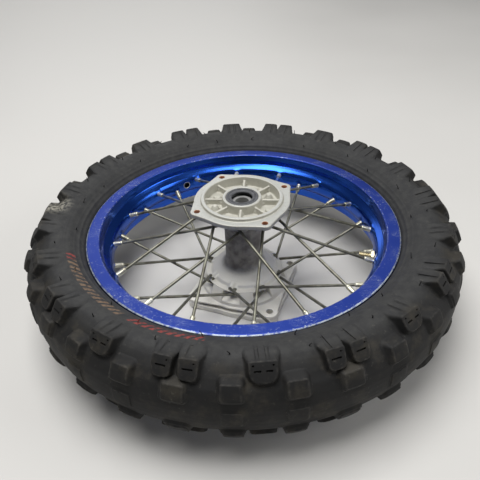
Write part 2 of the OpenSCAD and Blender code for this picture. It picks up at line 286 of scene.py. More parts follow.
def lathe_along(start, axis, sections, sides, spin=0.0, hollow=False):
    """Stacked sections along an axis, each (distance, radius) or (distance, radius function).

    A hollow one has its last section joined to its first, in place of flat ends.
    """
    axis = unit(np.asarray(axis, float))
    across = unit(np.cross(axis, [0, 0, 1.0]))
    other = np.cross(axis, across)
    turn = np.arange(sides) * 2 * math.pi / sides + spin
    verts = []
    for d, r in sections:
        radius = r(turn - spin) if callable(r) else np.full(sides, float(r))
        ring = np.outer(radius * np.cos(turn), across) + np.outer(radius * np.sin(turn), other)
        verts.append(np.asarray(start) + axis * d + ring)
    faces = loop_faces(len(sections), sides)
    if hollow:
        last = (len(sections) - 1) * sides
        faces += [(last + j, last + (j + 1) % sides, (j + 1) % sides, j) for j in range(sides)]
    else:
        faces += end_faces(len(sections), sides)
    return np.concatenate(verts), faces


def flats(count, flat, corner):
    """The radius function of a rounded polygon with the given number of flats."""

    def radius(turn):
        step = 2 * math.pi / count
        off = np.mod(turn + step / 2, step) - step / 2
        return np.minimum(flat / np.cos(off), corner)

    return radius


# ---------- material helpers ----------


def srgb(r, g, b):
    """A colour from its 0-255 display values."""
    c = np.array([r, g, b]) / 255
    c = np.where(c <= 0.04045, c / 12.92, ((c + 0.055) / 1.055) ** 2.4)
    return (float(c[0]), float(c[1]), float(c[2]), 1.0)


class Graph:
    """One procedural material, built node by node on object coordinates."""

    def __init__(self, name, **shader):
        self.material = bpy.data.materials.new(name)
        self.material.use_nodes = True
        self.tree = self.material.node_tree
        self.tree.nodes.clear()
        out = self.node("ShaderNodeOutputMaterial")
        self.shader = self.node("ShaderNodeBsdfPrincipled")
        self.tree.links.new(self.shader.outputs[0], out.inputs[0])
        self.place = self.node("ShaderNodeTexCoord").outputs["Object"]
        split = self.node("ShaderNodeSeparateXYZ")
        self.tree.links.new(self.place, split.inputs[0])
        self.x, self.y, self.z = split.outputs
        for key, value in shader.items():
            self.set(key.replace("_", " ").title().replace("Ior", "IOR"), value)

    def node(self, kind, **settings):
        made = self.tree.nodes.new(kind)
        for key, value in settings.items():
            setattr(made, key, value)
        return made

    def set(self, socket, value):
        """Feeds a shader input with a number, a colour or another node's output."""
        self.feed(self.shader.inputs[socket], value)

    def feed(self, socket, value):
        if isinstance(value, bpy.types.NodeSocket):
            self.tree.links.new(value, socket)
        else:
            socket.default_value = value

    def maths(self, operation, a, b=0.0):
        made = self.node("ShaderNodeMath", operation=operation)
        self.feed(made.inputs[0], a)
        self.feed(made.inputs[1], b)
        return made.outputs[0]

    def noise(self, size, detail=3.0, rough=0.55, at=None):
        """Noise from 0 to 1, with features of about the given size in millimetres."""
        made = self.node("ShaderNodeTexNoise")
        self.feed(made.inputs["Vector"], self.place if at is None else at)
        self.feed(made.inputs["Scale"], 1000 / size)
        self.feed(made.inputs["Detail"], detail)
        self.feed(made.inputs["Roughness"], rough)
        return made.outputs[0]

    def between(self, value, low, high, first=0.0, last=1.0):
        """A smooth step from first to last as the value goes from low to high."""
        made = self.node("ShaderNodeMapRange", interpolation_type="SMOOTHSTEP")
        for i, v in enumerate((value, low, high, first, last)):
            self.feed(made.inputs[i], v)
        return made.outputs[0]

    def band(self, value, low, high, soft):
        """One between low and high, and nought outside, with soft edges."""
        rise = self.between(value, low - soft, low + soft)
        fall = self.between(value, high - soft, high + soft, 1.0, 0.0)
        return self.maths("MULTIPLY", rise, fall)

    def times(self, *values):
        out = values[0]
        for v in values[1:]:
            out = self.maths("MULTIPLY", out, v)
        return out

    def most(self, *values):
        out = values[0]
        for v in values[1:]:
            out = self.maths("MAXIMUM", out, v)
        return out

    def mix(self, factor, a, b):
        made = self.node("ShaderNodeMix", data_type="RGBA")
        self.feed(made.inputs[0], factor)
        self.feed(made.inputs[6], a)
        self.feed(made.inputs[7], b)
        return made.outputs[2]

    def radius(self):
        """The distance from the axle, in metres."""
        xx = self.maths("MULTIPLY", self.x, self.x)
        yy = self.maths("MULTIPLY", self.y, self.y)
        return self.maths("SQRT", self.maths("ADD", xx, yy))

    def angle(self):
        """The direction from the axle, in radians."""
        return self.maths("ARCTAN2", self.y, self.x)

    def upward(self):
        """How much the surface faces along +Z."""
        split = self.node("ShaderNodeSeparateXYZ")
        self.tree.links.new(self.node("ShaderNodeNewGeometry").outputs["Normal"], split.inputs[0])
        return split.outputs[2]

    def worn(self):
        """The marks stored on the mesh: 1 on worn edges, which are lightened as wear and as a
        painted highlight, 0 elsewhere and -1 on the dark vents.
        """
        return self.node("ShaderNodeAttribute", attribute_name="wear").outputs["Fac"]

    def far_from(self, point):
        """The distance from a point, in metres."""
        made = self.node("ShaderNodeVectorMath", operation="DISTANCE")
        self.feed(made.inputs[0], self.place)
        made.inputs[1].default_value = tuple(float(v) * MM for v in point)
        return made.outputs["Value"]

    def bump(self, height, depth, strength=1.0):
        """Relief of about the given depth in millimetres."""
        made = self.node("ShaderNodeBump")
        self.feed(made.inputs["Height"], height)
        self.feed(made.inputs["Strength"], strength)
        self.feed(made.inputs["Distance"], depth * MM)
        self.set("Normal", made.outputs[0])


def rubber_material():
    """Charcoal tyre rubber with dust, edges lightened by wear and a painted highlight, a tread
    darkened by painted shade, and faded paint dashes on one sidewall.
    """
    g = Graph("tyre_rubber", metallic=0.0, specular_ior_level=0.32)
    r = g.radius()
    clouds = g.noise(55, 4)
    fine = g.noise(5, 4, 0.65)
    grain = g.noise(0.9, 2)
    mottle = g.between(g.noise(11, 6, 0.7), 0.36, 0.66)
    base = g.mix(clouds, srgb(28, 28, 30), srgb(47, 47, 47))
    base = g.mix(g.times(mottle, 0.45), base, srgb(60, 60, 58))
    # Painted shade: the tread, which faces sideways from the light above, is darkened in the
    # colour; the same zone also carries the dust.
    tread_shade_and_dust = g.between(r, (TYRE_R - 36) * MM, (TYRE_R - 18) * MM)
    base = g.mix(g.times(tread_shade_and_dust, 0.9), base, g.mix(clouds, srgb(11, 11, 12), srgb(24, 23, 22)))
    dust = g.times(tread_shade_and_dust, g.between(g.noise(24, 5, 0.65), 0.46, 0.70))
    base = g.mix(g.times(dust, 0.45), base, srgb(66, 61, 51))
    specks = g.between(fine, 0.60, 0.76)
    base = g.mix(g.times(specks, 0.35), base, srgb(92, 89, 82))
    # Edges lightened: partly wear, partly a painted highlight along the block edges.
    base = g.mix(g.times(g.worn(), g.between(fine, 0.36, 0.66), 0.28), base, srgb(80, 77, 72))
    base = g.mix(g.between(g.worn(), -1.0, -0.1, 1.0, 0.0), base, srgb(12, 12, 12))
    patch = g.between(g.far_from(polar(*SCUFF_AT)), 0.010, 0.030, 1.0, 0.0)
    patch = g.times(patch, g.between(g.noise(4, 4), 0.38, 0.6))
    base = g.mix(g.times(patch, 0.8), base, srgb(150, 146, 134))
    base = paint_dashes(g, base, r)
    g.set("Base Color", base)
    g.set("Roughness", g.between(clouds, 0.2, 0.8, 0.62, 0.82))
    g.bump(g.maths("ADD", g.times(fine, 0.7), g.times(grain, 0.3)), 0.35, 0.55)
    return g.material


def paint_dashes(g, base, r):
    """Faded runs of plain slanted strokes on the upper sidewall, ochre between red ones."""
    angle = g.angle()
    upper = g.between(g.z, 0.02, 0.024)
    slant = g.maths("ADD", g.times(angle, 150.0), g.times(r, 420.0))
    stroke = g.between(g.maths("SINE", slant), -0.35, 0.0)
    faded = g.between(g.noise(3, 5, 0.7), 0.38, 0.54)
    ring = g.band(r, DASH_R[0] * MM, DASH_R[1] * MM, 0.0004)
    ochre = g.band(angle, -2.74, -2.20, 0.008)
    red = g.most(g.band(angle, -2.14, -1.76, 0.008), g.band(angle, -2.80, -2.75, 0.008))
    marks = g.times(upper, stroke, faded, ring)
    base = g.mix(g.times(marks, ochre, 0.55), base, srgb(134, 108, 84))
    return g.mix(g.times(marks, red, 0.75), base, srgb(142, 56, 50))


def anodised_material():
    """Blue anodised aluminium: a scuffed side ring, a glossy bed and a lip rubbed bare."""
    g = Graph("blue_anodised", specular_ior_level=0.3)
    r = g.radius()
    rim = RIM_R * MM
    ring = RING_R * MM
    side = HALF_W * MM
    clouds = g.noise(60, 3)
    flat = g.between(g.maths("ABSOLUTE", g.z), side - 0.0020, side - 0.0004)
    glossy = g.mix(clouds, srgb(32, 73, 172), srgb(49, 99, 202))
    scuffed = g.mix(clouds, srgb(28, 50, 134), srgb(42, 66, 152))
    base = g.mix(flat, glossy, scuffed)
    fine = g.noise(2.0, 5, 0.7)
    edge = g.band(r, rim - 0.0018, rim - 0.0004, 0.0003)
    edge = g.times(edge, g.between(g.noise(5, 5, 0.7), 0.40, 0.54, 0.15, 1.0))
    lip = g.times(g.between(r, rim - 0.0040, rim - 0.0013), g.between(fine, 0.585, 0.615))
    chips = g.times(g.between(fine, 0.615, 0.635), flat, g.between(g.noise(24, 2), 0.46, 0.56))
    scratches = g.times(stroke_marks(g, 0.9), flat, g.between(g.noise(30, 2), 0.50, 0.60))
    inner = g.times(g.band(r, ring - 0.0008, ring + 0.0006, 0.0003), g.between(fine, 0.56, 0.62))
    inner = g.times(flat, inner)
    bare = g.most(edge, lip, chips, scratches, inner)
    base = g.mix(bare, base, srgb(182, 190, 197))
    g.set("Base Color", base)
    g.set("Metallic", g.between(flat, 0.0, 1.0, 1.0, 0.65))
    rough = g.between(flat, 0.0, 1.0, 0.18, 0.44)
    g.set("Roughness", g.maths("ADD", rough, g.between(clouds, 0.3, 0.7, 0.0, 0.06)))
    g.bump(g.maths("ADD", g.times(bare, -0.6), g.times(g.noise(0.8, 2), 0.2)), 0.05, 0.4)
    return g.material


def stroke_marks(g, amount):
    """Fine crossing scratches: thin lines where stretched noise crosses its middle."""
    lines = []
    for turn, shrink in ((0.6, 14.0), (-0.9, 10.0), (2.1, 18.0)):
        move = g.node("ShaderNodeMapping")
        g.feed(move.inputs["Vector"], g.place)
        move.inputs["Rotation"].default_value = (0.0, 0.0, turn)
        move.inputs["Scale"].default_value = (1.0, shrink, 1.0)
        near = g.maths("ABSOLUTE", g.maths("SUBTRACT", g.noise(26, 1, at=move.outputs[0]), 0.5))
        lines.append(g.between(near, 0.0012, 0.0032, amount, 0.0))
    return g.most(*lines)


def disc_hole(g, k):
    """One inside the k-th threaded disc hole, at any height, and nought elsewhere."""
    hole = polar(DISC_PCR, HOLE_ANGLE + 90 * k, 0)
    dx = g.maths("SUBTRACT", g.x, float(hole[0]) * MM)
    dy = g.maths("SUBTRACT", g.y, float(hole[1]) * MM)
    gap = g.maths("SQRT", g.maths("ADD", g.times(dx, dx), g.times(dy, dy)))
    return g.between(gap, 0.0034, 0.0040, 1.0, 0.0)


def cast_material():
    """Grey cast alloy, with turned faces, a barrel darkened by mottled painted shade, a low dome
    lightened by painted light, and rust in the threaded holes.
    """
    g = Graph("cast_alloy", metallic=0.3)
    r = g.radius()
    clouds = g.noise(22, 4, 0.6)
    grain = g.noise(1.1, 3, 0.6)
    base = g.mix(clouds, srgb(170, 168, 157), srgb(196, 194, 184))
    stains = g.between(g.noise(9, 5, 0.65), 0.54, 0.74)
    base = g.mix(g.times(stains, 0.45), base, srgb(118, 110, 98))
    # Painted shade: the barrel and the steep top of the bell below it are darkened and mottled,
    # standing in for the shade they get under light from above.
    barrel_shade = g.band(g.z, BARREL_Z[0] * MM, BARREL_Z[1] * MM, 0.0035)
    barrel_shade = g.times(barrel_shade, g.between(r, 0.027, 0.033, 1.0, 0.0))
    # Painted light: the cast below 30 mm under the middle is lightened, as if the low dome caught
    # strong light from above.
    base = g.mix(g.between(g.z, -0.038, -0.030, 0.8, 0.0), base, srgb(226, 223, 214))
    barrel_shade = g.times(barrel_shade, g.between(g.noise(13, 4, 0.6), 0.3, 0.7, 0.55, 1.0))
    base = g.mix(barrel_shade, base, srgb(98, 93, 88))
    top = g.times(g.between(g.z, 0.0624, 0.0628), g.between(g.upward(), 0.9, 0.98))
    lathe = g.maths("SINE", g.times(r, 2 * math.pi / 0.00035))
    scuffs = g.between(g.noise(3.5, 5, 0.7), 0.56, 0.66)
    base = g.mix(g.times(top, 0.85), base, srgb(174, 175, 171))
    base = g.mix(g.times(top, scuffs, 0.5), base, srgb(142, 138, 130))
    rust = g.most(*(disc_hole(g, k) for k in range(4)))
    rust = g.times(rust, g.between(g.z, 0.054, 0.057), g.between(g.noise(2, 3), 0.25, 0.45))
    base = g.mix(g.times(rust, 0.9), base, srgb(172, 104, 62))
    g.set("Base Color", base)
    g.set("Roughness", g.between(top, 0.0, 1.0, 0.58, 0.42))
    relief = g.mix(top, g.times(grain, 1.0), g.times(lathe, 0.12))
    g.bump(relief, 0.18, 0.6)
    return g.material


def zinc_material(name, light, dark):
    """Dull plating with an olive patina and darker spots."""
    g = Graph(name, metallic=0.75)
    clouds = g.noise(14, 4, 0.6)
    base = g.mix(g.between(clouds, 0.3, 0.7), dark, light)
    spots = g.between(g.noise(2.5, 4, 0.7), 0.60, 0.70)
    base = g.mix(g.times(spots, 0.5), base, srgb(92, 84, 62))
    g.set("Base Color", base)
    g.set("Roughness", g.between(clouds, 0.3, 0.7, 0.34, 0.5))
    g.bump(g.noise(0.7, 3), 0.05, 0.5)
    return g.material


def brass_material():
    """Pale nickel-plated brass, yellower where the plating is thin."""
    g = Graph("valve_brass", metallic=0.9)
    clouds = g.noise(6, 4, 0.6)
    base = g.mix(g.between(clouds, 0.35, 0.65), srgb(176, 164, 130), srgb(206, 196, 166))
    g.set("Base Color", base)
    g.set("Roughness", g.between(clouds, 0.3, 0.7, 0.38, 0.5))
    g.bump(g.noise(0.6, 3), 0.04, 0.5)
    return g.material


def steel_material(name, light, dark, rough, metal):
    """Ground bearing steel with oily clouding."""
    g = Graph(name, metallic=metal)
    clouds = g.noise(7, 4, 0.6)
    g.set("Base Color", g.mix(clouds, dark, light))
    g.set("Roughness", g.between(clouds, 0.3, 0.7, rough, rough + 0.14))
    lathe = g.maths("SINE", g.times(g.radius(), 2 * math.pi / 0.0003))
    g.bump(g.maths("ADD", g.times(lathe, 0.5), g.noise(0.5, 3)), 0.01, 0.4)
    return g.material


def soft_material(name, light, dark, rough=0.62):
    """Moulded rubber or plastic with a bloom on it."""
    g = Graph(name, metallic=0.0, specular_ior_level=0.4)
    clouds = g.noise(5, 5, 0.65)
    g.set("Base Color", g.mix(g.between(clouds, 0.32, 0.68), dark, light))
    g.set("Roughness", g.between(clouds, 0.3, 0.7, rough - 0.1, rough + 0.1))
    g.bump(g.noise(0.8, 3), 0.06, 0.5)
    return g.material


# ---------- tyre ----------


def casing_line(s):
    """The casing's outer surface on one side, from the bead to near the crown."""
    edge = [
        (BEAD_R + 0.3, s * (FLANGE_Z - 2.2), 0.8),
        (BEAD_R + 2.2, s * (FLANGE_Z - 0.3), 0.8),
        (RIM_R - 4, s * (FLANGE_Z - 0.1), 1.0),
        (RIM_R - 0.8, s * (HALF_W - 5), 0.8),
        (RIM_R + 0.6, s * (HALF_W - 2.4), 0.8),
        (RIM_R + 2, s * (HALF_W + 0.6), 2.0),
    ]
    wall = [(200, 36), (209, 42.5), (219, 46), (229, 46), (237, 41.5), (246.5, 35)]
    crown = [(254.5, 28), (259.5, 20), (261.8, 10), (262.4, 4)]
    return edge + [(r, s * z, 14.0) for r, z in wall + crown]


def section_table():
    """The casing's radius about the section's centre, for directions from 0 to a half turn."""
    line = dense(rounded(casing_line(1), 1, 5, closed=False)[10:], 0.5, closed=False)
    turn = np.arctan2(line[:, 1], line[:, 0] - SECTION_R)
    far = np.hypot(line[:, 0] - SECTION_R, line[:, 1])
    order = np.argsort(turn)
    return turn[order], far[order]


TABLE_TURN, TABLE_FAR = section_table()
CROWN_ROWS = 60  # the table's rows on the crown, where one radius can fit two directions


def above_casing(points):
    """How far points in millimetres stand off the casing."""
    r = np.hypot(points[:, 0], points[:, 1]) - SECTION_R
    z = np.abs(points[:, 2])
    return np.hypot(r, z) - np.interp(np.arctan2(z, r), TABLE_TURN, TABLE_FAR)


def moulded_ribs(line):
    """Fine raised rings on the sidewall, pushed out along the section's own direction."""
    r, z = line[:, 0], line[:, 1]
    out = np.stack([r - SECTION_R, z], 1)
    out /= np.linalg.norm(out, axis=1)[:, None]
    lift = np.zeros(len(line))
    rings = ((198.5, 1.1, 0.8), (203.0, 0.5, 0.35), (213.5, 0.5, 0.4), (216.0, 0.4, 0.3))
    for at, wide, tall in rings:
        lift += tall * np.exp(-(((r - at) / wide) ** 2))
    lift *= np.abs(z) > 20
    return line + out * lift[:, None]


def tyre_casing():
    """The tyre's skin: the moulded outside, the inside and the vents."""
    outer = [rounded(casing_line(s), 1, 5, closed=False) for s in (1, -1)]
    outer = np.concatenate([outer[0], outer[1][::-1]])
    outer = moulded_ribs(dense(outer, 1.1, closed=False))
    inner_half = [(BEAD_R + 0.3, 16), (184, 16), (195, 25.5), (209, 35.5), (221, 39)]
    inner_half += [(231, 37), (238, 30), (243.5, 18), (245.5, 5)]
    inner = [(r, -z) for r, z in inner_half] + [(r, z) for r, z in reversed(inner_half)]
    inner = rounded(inner, 3.0, 2, closed=False)
    shape = Shape()
    shape.add(*turned(np.concatenate([outer, inner]), 288))
    for k in range(40):
        side = 1 if k % 2 else -1
        vent(shape, 9.0 * k + 4.0 * math.sin(k * 2.3), 206 + 3 * math.sin(k * 1.7), side, k)
        vent(shape, 9.0 * k + 5.0, 226 + 3 * math.sin(k * 1.1), side, k + 3)
    mesh = shape.mesh("tyre_casing", 35)
    return place("tyre_casing", mesh, "wheel", "tyre_rubber", rubber, "tyre")


def wall_turn(r):
    """The direction from the section's centre at which the sidewall has the radius r."""
    turns = TABLE_TURN[CROWN_ROWS:]
    radii = SECTION_R + TABLE_FAR[CROWN_ROWS:] * np.cos(turns)
    order = np.argsort(radii)
    return np.interp(r, radii[order], turns[order])


def vent(shape, a, r, side, seed):
    """A moulding whisker standing on the sidewall."""
    turn = wall_turn(r)
    far = np.interp(turn, TABLE_TURN, TABLE_FAR)
    foot = polar(SECTION_R + far * math.cos(turn), a, side * far * math.sin(turn))
    out = unit(foot - polar(SECTION_R, a, 0))
    side_way = polar(1, a + 90, 0) * math.sin(seed * 1.9) * 0.6
    tip = foot + (out + side_way) * (4.6 + 1.4 * math.sin(seed * 0.7))
    mid = foot + out * 1.8
    path = [foot - out * 0.6, foot + out * 0.4, mid, tip]
    verts, faces = tube(path, [0.75, 0.62, 0.52, 0.4], 7)
    shape.add(verts, faces, np.full(len(verts), -1.0))


@dataclass
class Block:
    """A tread block's outline, its flares and what is cut into it. +u points to the sidewall."""

    length: float
    width: float
    crown_round: float
    wall_round: float
    edge: float
    flare: tuple  # towards the sidewall, the crown and the ends
    sipes: tuple = ()  # (u0, u1, v0, v1)
    holes: tuple = ()  # (u, v, radius)
    grooves: tuple = ()  # (v0, v1, depth) down the sidewall face
    taper: float = 0.0
    crown: float = 0.35

    @property
    def half_v(self):
        return self.length / 2

    @property
    def half_u(self):
        return self.width / 2

    def half_length(self, u, inset):
        """Half the block's length at u, on the outline set in by inset."""
        full = self.half_v - inset - self.taper * (1 - u / self.half_u) * 0.5
        limit = self.half_u - inset
        for sign, rounding in ((-1, self.crown_round), (1, self.wall_round)):
            radius = max(rounding - inset, 0.3)
            t = np.clip(radius - (limit - sign * u), 0, radius)
            full = full - (radius - np.sqrt(radius**2 - t**2))
        return full

    def grid_lines(self):
        """The cap's grid: u in millimetres, and v as a share of the half length."""
        limit = self.half_u - self.edge
        arc = np.radians([0, 22, 42, 60, 76, 90])
        crown_r = max(self.crown_round - self.edge, 0.3)
        wall_r = max(self.wall_round - self.edge, 0.3)
        us = list(-limit + crown_r * (1 - np.cos(arc))) + list(limit - wall_r * (1 - np.cos(arc)))
        us += list(np.linspace(-limit + crown_r, limit - wall_r, 7))
        vs = list(np.linspace(-1, 1, 13))
        reach = self.half_v - self.edge
        for u0, u1, v0, v1 in self.sipes:
            us += [u0 - 0.15, u0 + 0.05, u1 - 0.05, u1 + 0.15]
            vs += [x / reach for x in (v0 - 0.15, v0 + 0.05, v1 - 0.05, v1 + 0.15)]
        for u, v, radius in self.holes:
            us += [u + radius * x for x in (-1.1, -0.75, -0.3, 0.3, 0.75, 1.1)]
            vs += [(v + radius * x) / reach for x in (-1.1, -0.75, -0.3, 0.3, 0.75, 1.1)]
        for v0, v1, _ in self.grooves:
            vs += [x / reach for x in (v0 - 0.3, v0 + 0.3, v1 - 0.3, v1 + 0.3)]
        us = np.array(sorted(u for u in us if abs(u) <= limit + 1e-6))
        vs = np.array(sorted(v for v in vs if abs(v) <= 1))
        return thinned(us, 0.08), thinned(vs, 0.08 / reach)

    def top(self):
        """The cap as a grid of (u, v, w)."""
        us, vs = self.grid_lines()
        u = np.repeat(us, len(vs))
        v = np.tile(vs, len(us)) * self.half_length(u, self.edge)
        w = -self.crown * ((u / self.half_u) ** 2 + (v / self.half_v) ** 2)
        for u0, u1, v0, v1 in self.sipes:
            inside = (u > u0 - 0.06) & (u < u1 + 0.06) & (v > v0 - 0.06) & (v < v1 + 0.06)
            w = np.where(inside, w - SIPE_DEPTH, w)
        for uc, vc, radius in self.holes:
            w = np.where(np.hypot(u - uc, v - vc) < radius * 0.9, w - HOLE_DEPTH, w)
        return np.stack([u, v, w], 1), len(us), len(vs)


def thinned(values, gap):
    """Sorted values with near repeats left out."""
    kept = [values[0]]
    for v in values[1:]:
        if v - kept[-1] > gap:
            kept.append(v)
    return np.array(kept)


def boundary(rows, columns):
    """The grid's outer loop of vertex numbers."""
    bottom = [j for j in range(columns)]
    right = [i * columns + columns - 1 for i in range(1, rows)]
    top = [(rows - 1) * columns + j for j in range(columns - 2, -1, -1)]
    left = [i * columns for i in range(rows - 2, 0, -1)]
    return bottom + right + top + left


def grid_faces(rows, columns):
    """Quads over a grid of vertices."""
    return [
        (i * columns + j, i * columns + j + 1, (i + 1) * columns + j + 1, (i + 1) * columns + j)
        for i in range(rows - 1)
        for j in range(columns - 1)
    ]


def outward(edge):
    """Unit directions out of a closed outline, at each of its points."""
    way = (np.roll(edge, -1, 0) - np.roll(edge, 1, 0))[:, :2]
    way /= np.linalg.norm(way, axis=1)[:, None]
    normals = np.stack([way[:, 1], -way[:, 0]], 1)
    return -normals if (normals * edge[:, :2]).sum() < 0 else normals


def add_block(shape, block, a, at, side):
    """One tread block in direction a, standing on the casing; at is (radius, height, lean)."""
    r, z, lean = at
    t = math.radians(lean)
    out_r = polar(1, a, 0)
    along = polar(1, a + 90, 0)
    up = np.array([0, 0, 1.0])
    normal = out_r * math.cos(t) + up * math.sin(t) * side
    across = -out_r * math.sin(t) + up * math.cos(t) * side
    centre = polar(r, a, z * side)

    def world(p):
        return centre + p[:, :1] * across + p[:, 1:2] * along + p[:, 2:3] * normal

    def depth_at(flat):
        """How far below the top's plane the casing lies, for (u, v) points."""
        high = np.zeros(len(flat))
        low = np.full(len(flat), -34.0)
        for _ in range(18):
            mid = (high + low) / 2
            above = above_casing(world(np.column_stack([flat, mid]))) > 0
            high = np.where(above, mid, high)
            low = np.where(above, low, mid)
        return (high + low) / 2

    cap, rows, columns = block.top()
    loop = boundary(rows, columns)
    edge = cap[loop]
    normals = outward(edge)
    flare = (
        block.flare[0] * np.clip(normals[:, 0], 0, 1) ** 2
        + block.flare[1] * np.clip(-normals[:, 0], 0, 1) ** 2
        + block.flare[2] * normals[:, 1] ** 2
    )
    groove = np.zeros(len(edge))
    for v0, v1, deep in block.grooves:
        inside = (edge[:, 1] > v0) & (edge[:, 1] < v1) & (normals[:, 0] > 0.8)
        groove = np.where(inside, deep, groove)

    rings = []
    ring_wear_and_sheen = []
    # The rounded edge of the top
    for turn in (30, 60, 90):
        s, c = math.sin(math.radians(turn)), math.cos(math.radians(turn))
        flat = edge[:, :2] + normals * block.edge * s
        rings.append(np.column_stack([flat, edge[:, 2] - block.edge * (1 - c)]))
        ring_wear_and_sheen.append(1.0 if turn < 90 else 0.5)
    start = rings[-1]
    foot_flat = start[:, :2] + normals * flare[:, None]
    foot = depth_at(foot_flat)
    low = np.minimum(foot + 2.2, start[:, 2] - 0.3)
    # The walls, spreading to the flares
    for t_wall in (0.08, 0.35, 0.7, 1.0):
        w = start[:, 2] + (low - start[:, 2]) * t_wall
        cut = groove * min(1.0, 0.5 + t_wall)
        flat = start[:, :2] + normals * (flare * t_wall - cut)[:, None]
        rings.append(np.column_stack([flat, w]))
        ring_wear_and_sheen.append(0.15)
    # The fillet on the casing, and the floor under it
    for spread, lift in ((0.5, 1.0), (1.4, 0.25), (2.8, -0.4)):
        flat = foot_flat + normals * (spread - groove * (1 - spread / 3))[:, None]
        rings.append(np.column_stack([flat, np.minimum(depth_at(flat) + lift, low - 0.1)]))
        ring_wear_and_sheen.append(0.0)
    rings.append(np.column_stack([foot_flat * 0.9, foot - 2.5]))
    ring_wear_and_sheen.append(0.0)

    faces = grid_faces(rows, columns)
    n = len(loop)
    first = len(cap)
    previous = loop
    for k in range(len(rings)):
        ring = [first + k * n + j for j in range(n)]
        for j in range(n):
            m = (j + 1) % n
            faces.append((previous[j], previous[m], ring[m], ring[j]))
        previous = ring
    faces.append(tuple(previous))
    wear = np.zeros(len(cap))
    wear[loop] = 1.0
    wear = np.concatenate([wear] + [np.full(n, x) for x in ring_wear_and_sheen])
    shape.add(world(np.concatenate([cap] + rings)), faces, wear)


def tread_blocks():
    """Every block of the tread; the lower half mirrors the upper."""
    single = Block(
        27, 20, 8.5, 2.6, edge=1.3, flare=(8.5, 1.0, 1.8), taper=1.6,
        sipes=((0.2, 1.7, -8.2, -2.2), (0.2, 1.7, 2.2, 8.2)),
        holes=((5.8, -8.6, 0.85), (5.8, 8.6, 0.85)),
        grooves=((-5.4, -2.6, 1.7), (2.6, 5.4, 1.7)),
    )  # fmt: skip
    pair = Block(
        19.5, 20, 5.0, 2.4, edge=1.2, flare=(8.0, 1.0, 1.2), taper=1.2,
        sipes=((-0.4, 1.2, -4.2, 4.2),),
        holes=((5.6, 4.8, 0.8),),
        grooves=((-3.8, -1.4, 1.5),),
    )  # fmt: skip
    mid = Block(19.5, 17, 2.4, 2.4, edge=1.3, flare=(3.0, 1.6, 1.8), crown=0.6)
    inner = Block(21, 17, 2.4, 2.4, edge=1.4, flare=(2.6, 1.6, 1.8), crown=0.6)
    centre = Block(20, 18, 2.4, 2.4, edge=0.8, flare=(0.6, 0.6, 0.6), crown=0.5)
    shape = Shape()
    pitch = 360 / TREAD_REPEATS
    for k in range(TREAD_REPEATS):
        one = TREAD_ANGLE + k * pitch
        two = one + pitch / 2
        for side in (1, -1):
            add_block(shape, single, one, SHOULDER_AT, side)
            for t in (-1, 1):
                add_block(shape, pair, two + t * PAIR_TURN, SHOULDER_AT, side)
                add_block(shape, mid, one + t * MID_TURN, MID_AT, side)
            add_block(shape, inner, two, INNER_AT, side)
        for t in (-1, 1):
            add_block(shape, centre, one + t * MID_TURN, CENTRE_AT, 1)
    mesh = shape.mesh("tyre_tread_blocks", 38)
    return place("tyre_tread_blocks", mesh, "wheel", "tyre_rubber", rubber, "tyre")


# ---------- rim ----------


def rim_outline():
    """The rim's closed section: the side under the tyre, then the side towards the hub."""
    half = [
        (RIM_R, HALF_W - 2.6, 0.8),
        (RIM_R - 1, HALF_W - 4.6, 0.8),
        (RIM_R - 4, FLANGE_Z + 0.3, 1.0),
        (BEAD_R + 2, FLANGE_Z, 1.5),
        (BEAD_R, FLANGE_Z - 1.6, 1.2),
        (BEAD_R - 0.5, 15, 2.5),
        (BED_OUT_R + 1, 10, 2.5),
        (BED_OUT_R, 9, 1.5),
    ]
    hub = [
        (BED_R, 2.5, 4.0),
        (BED_R + 0.4, 6, 6.0),
        (BED_R + 2.4, 10, 6.0),
        (BED_R + 6.4, 13.5, 4.0),
        (RING_R - 3, 16.5, 3.0),
        (RING_R - 1.8, 22, 6.0),
        (RING_R - 1.2, HALF_W - 1.2, 0.9),
        (RING_R, HALF_W, 0.9),
        (RIM_R - 2.2, HALF_W, 1.2),
        (RIM_R - 0.6, HALF_W - 1, 0.9),
    ]

    def other(points):
        return [(r, -z, c) for r, z, c in reversed(points)]

    return rounded(half + other(half) + other(hub) + hub, 1.0, 4)


def nipple_places():
    """Where the nipples stand in the bed, as (direction, height)."""
    return [
        (PAIR_ANGLE[side] + 360 / PAIRS * k + turn * NIPPLE_TURN, side * NIPPLE_Z)
        for side in (1, -1)
        for turn in (1, -1)
        for k in range(PAIRS)
    ]


def dimples(r, a, z):
    """The spoke bed bulges towards the hub round each nipple."""
    move = np.zeros(len(r))
    bed = (r < BED_OUT_R - 0.5) & (np.abs(z) < 13)
    for angle, height in nipple_places():
        off = np.mod(a - angle + 180, 360) - 180
        gap = np.hypot(np.radians(off) * BED_R, z - height * 1.2)
        move -= 1.5 * np.clip(1 - (gap / 7.5) ** 2, 0, 1) ** 1.5
    return np.where(bed, np.maximum(move, -1.5), 0.0)


def drilled(mesh, name, drills):
    """The mesh with round holes cut through it; each drill is (start, end, radius)."""
    obj = linked(name, mesh)
    cutters = []
    for start, end, radius in drills:
        shape = Shape()
        length = float(np.linalg.norm(end - start))
        shape.add(*lathe_along(start, end - start, [(0, radius), (length, radius)], 40))
        cutter = linked("drill", shape.mesh("drill", 30))
        cutters.append(cutter)
        m = obj.modifiers.new("drill", "BOOLEAN")
        m.operation = "DIFFERENCE"
        m.solver = "EXACT"
        m.object = cutter
    made = baked(obj)
    for cutter in cutters:
        bpy.data.objects.remove(cutter)
    return made


